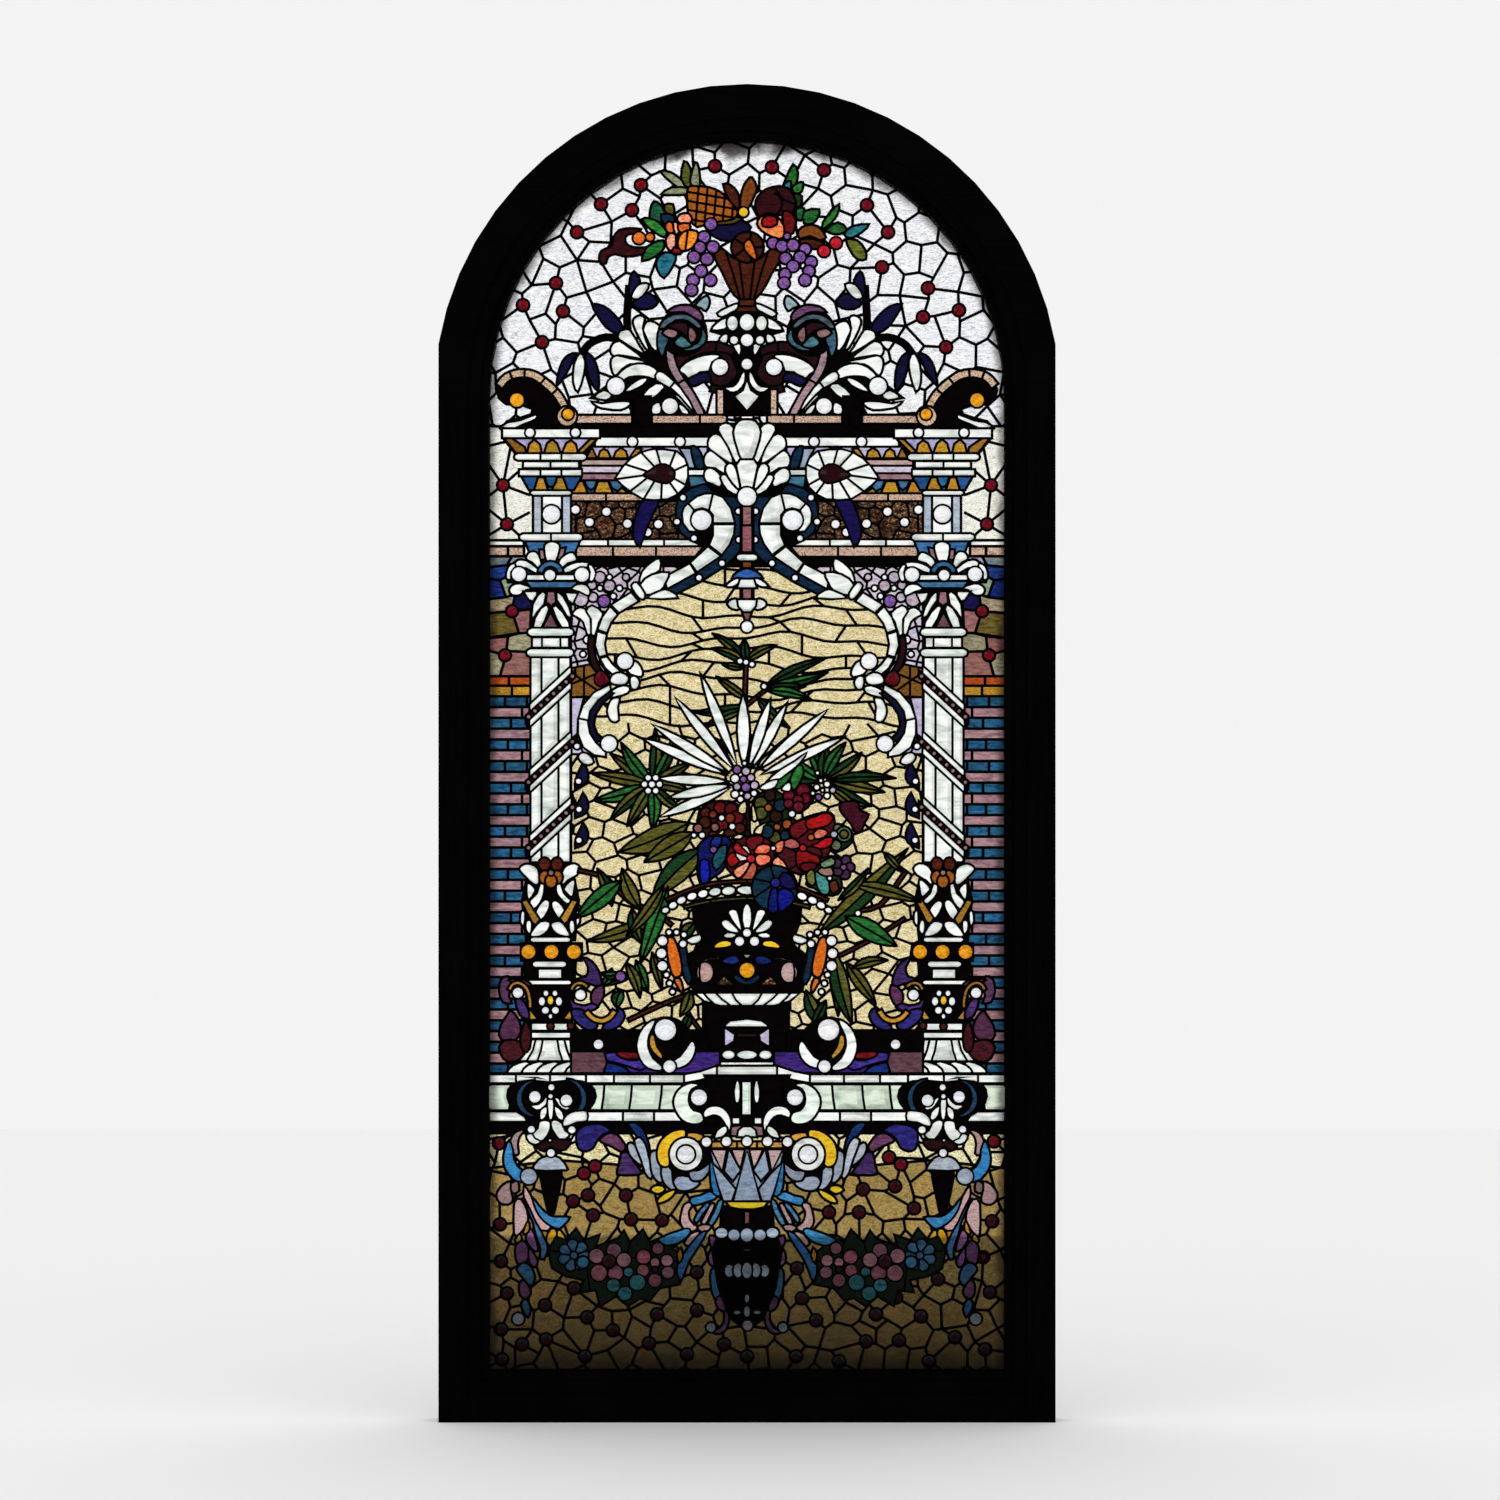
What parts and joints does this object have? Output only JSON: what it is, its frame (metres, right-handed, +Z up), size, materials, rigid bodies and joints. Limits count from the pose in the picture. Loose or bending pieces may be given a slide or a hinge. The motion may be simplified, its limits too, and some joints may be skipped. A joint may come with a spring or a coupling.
{
  "type": "stained glass window panel",
  "caption": "Arch-topped leaded stained glass panel in a dark wooden frame: columns, an urn of flowers under an ogee arch, a fruit basket above and a garland below.",
  "frame": {"origin": "middle of the frame's underside, which sits on the sill of the wall opening", "axes": "+X to the viewer's right, +Y away from the viewer through the panel, +Z up"},
  "size_m": [1.23, 0.07, 2.668],
  "materials": {
    "bevelled_plate_glass": "clear plate glass with wide polished bevels, greenish on its facets",
    "black_glass": "opaque black glass, polished",
    "blue_brick_glass": "streaky blue and dusty pink glass bricks under amber strips",
    "clear_rippled_glass": "clear faintly lilac glass with a fine rippled face",
    "cream_amber_glass": "pale cream-amber glass with a rippled face",
    "dark_stained_wood": "nearly black stained hardwood with a faint red-brown tint, satin, worn",
    "fruit_orange_glass": "orange, plum, violet and green streaky glass",
    "garland_flower_glass": "teal, rose and mauve glass on dark green",
    "grey_blue_glass": "grey-blue and rose glass, yellow crescents",
    "lead_came": "dull dark grey oxidised lead came with soldered joints",
    "lilac_glass": "lilac glass with pearls and bubbles",
    "marbled_brown_glass": "brown marbled glass, lilac and amber strips",
    "old_gold_glass": "tan-gold rippled glass with ruby jewels, dirtier towards the bottom",
    "pink_ribbon_glass": "pink, grey-blue and yellow glass ribbons",
    "purple_glass": "streaky purple and mauve glass",
    "ruby_flower_glass": "ruby, blue and olive streaky glass",
    "streaky_blue_rose_glass": "streaky blue, rose and buff glass"
  },
  "bodies": {
    "root": {"amber_field": "cream_amber_glass", "bottom_bead": "dark_stained_wood", "bottom_rail": "dark_stained_wood", "bouquet": "ruby_flower_glass", "bowl_and_drop": "grey_blue_glass", "cornice": "black_glass", "finial": "bevelled_plate_glass", "frame_head": "dark_stained_wood", "fruit_basket": "fruit_orange_glass", "head_bead": "dark_stained_wood", "lead_lattice": "lead_came", "left_acanthus_scroll": "bevelled_plate_glass", "left_bead": "dark_stained_wood", "left_bracket": "bevelled_plate_glass", "left_brickwork": "blue_brick_glass", "left_capital": "bevelled_plate_glass", "left_column_foot": "bevelled_plate_glass", "left_column_head": "bevelled_plate_glass", "left_column_shaft": "bevelled_plate_glass", "left_frieze": "marbled_brown_glass", "left_garland": "garland_flower_glass", "left_landscape": "streaky_blue_rose_glass", "left_lower_scroll": "bevelled_plate_glass", "left_pediment_horn": "black_glass", "left_plinth_band": "purple_glass", "left_purple_leaves": "purple_glass", "left_rail": "bevelled_plate_glass", "left_rib": "bevelled_plate_glass", "left_ribbon": "pink_ribbon_glass", "left_roundel_wing": "grey_blue_glass", "left_spandrel": "lilac_glass", "left_stile": "dark_stained_wood", "lower_glass": "old_gold_glass", "palm_spray": "bevelled_plate_glass", "pendant": "bevelled_plate_glass", "right_acanthus_scroll": "bevelled_plate_glass", "right_bead": "dark_stained_wood", "right_bracket": "bevelled_plate_glass", "right_brickwork": "blue_brick_glass", "right_capital": "bevelled_plate_glass", "right_column_foot": "bevelled_plate_glass", "right_column_head": "bevelled_plate_glass", "right_column_shaft": "bevelled_plate_glass", "right_frieze": "marbled_brown_glass", "right_garland": "garland_flower_glass", "right_landscape": "streaky_blue_rose_glass", "right_lower_scroll": "bevelled_plate_glass", "right_pediment_horn": "black_glass", "right_plinth_band": "purple_glass", "right_purple_leaves": "purple_glass", "right_rail": "bevelled_plate_glass", "right_rib": "bevelled_plate_glass", "right_ribbon": "pink_ribbon_glass", "right_roundel_wing": "grey_blue_glass", "right_spandrel": "lilac_glass", "right_stile": "dark_stained_wood", "shell": "bevelled_plate_glass", "stand_and_console": "black_glass", "upper_glass": "clear_rippled_glass", "urn": "black_glass"}
  },
  "joints": []
}
